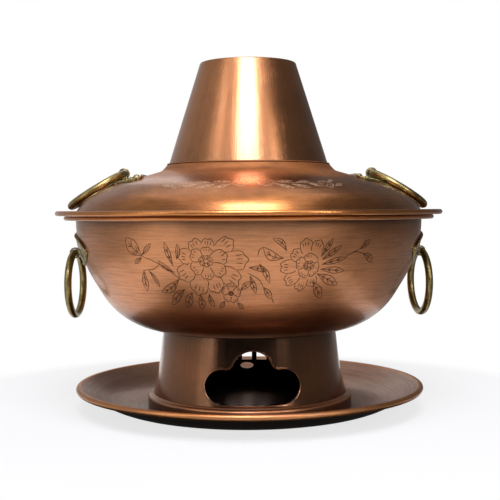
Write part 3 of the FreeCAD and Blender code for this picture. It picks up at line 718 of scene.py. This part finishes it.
bowl_wall = Wall("bowl", from_above=False)
lid_wall = Wall("lid_shell", from_above=True)
peonies = left_flower() + left_leaves() + left_bloom() + right_flower() + right_leaves()
for name, offset in (("front", 0.0), ("back", math.pi * WALL_CIRCLE)):
    engraved("bowl_engraving_" + name, bowl_wall, peonies, offset, "pot", "dark_line")
    engraved("lid_engraving_" + name, lid_wall, lid_sprays(), offset, "lid", "bright_line")


# ---- bead borders of the handle plates -----------------------------------------------------------

def middle_and_half(values):
    """Middle of a plate's extent, and half the extent of the border inside its edge."""
    return (max(values) + min(values)) / 2, (max(values) - min(values)) / 2 - BEAD_INSET / MM


def bead_border(node, from_above, body):
    """Row of beads, let in a little, on the raised border of an oval plate.

    Along and long are measured at WALL_CIRCLE, which is stretch times the plate's own outer radius.
    """
    wall = Wall(node, from_above)
    corners = [vertex.co / MM for vertex in nodes[node].data.vertices]
    along, long = middle_and_half([math.atan2(corner.x, -corner.y) * WALL_CIRCLE for corner in corners])
    reach, high = middle_and_half([corner.xy.length if from_above else corner.z for corner in corners])
    stretch = WALL_CIRCLE / max(corner.xy.length for corner in corners)
    beads = bmesh.new()
    angle = 0.0
    while angle < math.tau:
        place, normal = wall.spot(along + long * math.cos(angle), reach + high * math.sin(angle))
        if place:
            centre = place - normal * BEAD_RADIUS * BEAD_SINK
            bmesh.ops.create_icosphere(beads, subdivisions=1, radius=BEAD_RADIUS,
                                       matrix=Matrix.Translation(centre))
        pace = math.hypot(long / stretch * math.sin(angle), high * math.cos(angle))
        angle += BEAD_PITCH / MM / pace
    mesh = bpy.data.meshes.new(node + "_beads")
    beads.to_mesh(mesh)
    piece(node + "_beads", mesh, body, "brass", smooth=True)


for side in ("left", "right"):
    bead_border("bowl_plate_" + side, False, "pot")
    bead_border("lid_plate_" + side, True, "lid")


# ---- studio --------------------------------------------------------------------------------------

def card(name, size, place, turn, material):
    """Flat rectangle of the studio."""
    mesh = bpy.data.meshes.new(name)
    half_x, half_y = size[0] / 2, size[1] / 2
    corners = [(-half_x, -half_y, 0), (half_x, -half_y, 0), (half_x, half_y, 0), (-half_x, half_y, 0)]
    mesh.from_pydata(corners, [], [(0, 1, 2, 3)])
    obj = bpy.data.objects.new(name, mesh)
    obj.location = place
    obj.rotation_euler = [math.radians(part) for part in turn]
    bpy.context.scene.collection.objects.link(obj)
    mesh.materials.append(material)
    return obj


def floor_material():
    """White floor that keeps a soft shadow near the pot and fades to plain white."""
    m = Nodes(bpy.data.materials.new("floor_white"))
    away = m.ramp(m.polar()[1], *SHADOW_REACH)
    share = m.math("MULTIPLY", m.seen(), m.math("MAXIMUM", away, FLOOR_WHITE))
    lit = m.add("ShaderNodeBsdfDiffuse", {"Color": FLOOR_COLOR})
    white = m.add("ShaderNodeEmission", {"Color": WHITE, "Strength": 1.0})
    blend = m.add("ShaderNodeMixShader", {0: share, 1: lit.outputs[0], 2: white.outputs[0]})
    m.put(m.tree.nodes["Material Output"].inputs["Surface"], blend.outputs[0])
    return m.owner


def card_material(name, shade):
    """Card that shows in the metal as one plain shade."""
    m = Nodes(bpy.data.materials.new(name))
    glow = m.add("ShaderNodeEmission", {"Color": (shade, shade, shade), "Strength": 1.0})
    m.put(m.tree.nodes["Material Output"].inputs["Surface"], glow.outputs[0])
    return m.owner


def lamp(name, place, target_height, size, power, color):
    """Rectangular lamp that points at a height on the pot's axis."""
    light = bpy.data.lights.new(name, "AREA")
    light.shape = "RECTANGLE"
    light.size, light.size_y = size
    light.energy = power
    light.color = color
    obj = bpy.data.objects.new(name, light)
    obj.location = place
    ahead = Vector((0, 0, target_height)) - Vector(place)
    obj.rotation_euler = ahead.to_track_quat("-Z", "Y").to_euler()
    bpy.context.scene.collection.objects.link(obj)


def studio():
    """Floor, cards and lamps."""
    card("floor", (14, 14), (0, 0, -0.0005), (0, 0, 0), floor_material())
    shades = {name: card_material(name, shade) for name, shade in CARD_SHADES.items()}
    for name, size, place, turn, shade in FLAGS:
        flag = card(name, size, place, turn, shades[shade])
        flag.visible_camera = False
        flag.visible_diffuse = False
        flag.visible_shadow = False
    for settings in LAMPS:
        lamp(*settings)


def world():
    """World that gives little light but shows white."""
    w = Nodes(bpy.data.worlds.new("studio"))
    level = w.add("ShaderNodeMapRange", {"Value": w.seen(), "To Min": WORLD_LIGHT, "To Max": 1.0})
    back = w.tree.nodes["Background"]
    w.put(back.inputs["Strength"], level.outputs[0])
    w.put(back.inputs["Color"], WHITE)
    bpy.context.scene.world = w.owner


def camera():
    """Camera where the photograph's stood, turned and rolled as it was."""
    lens = bpy.data.cameras.new("camera")
    lens.sensor_width = SENSOR
    lens.lens = FOCAL_PIXELS / PICTURE_PIXELS * SENSOR
    lens.clip_start = 0.01
    obj = bpy.data.objects.new("camera", lens)
    place = Vector((-math.sin(POT_TURN) * EYE_DISTANCE, -math.cos(POT_TURN) * EYE_DISTANCE, EYE_HEIGHT))
    turn = Euler((math.pi / 2 - PITCH, 0, -POT_TURN - AXIS_OFFSET)).to_matrix()
    turn = turn @ Matrix.Rotation(-ROLL, 3, "Z")
    obj.matrix_world = Matrix.Translation(place) @ turn.to_4x4()
    bpy.context.scene.collection.objects.link(obj)
    bpy.context.scene.camera = obj


studio()
world()
camera()
bpy.context.scene.view_settings.view_transform = "Standard"
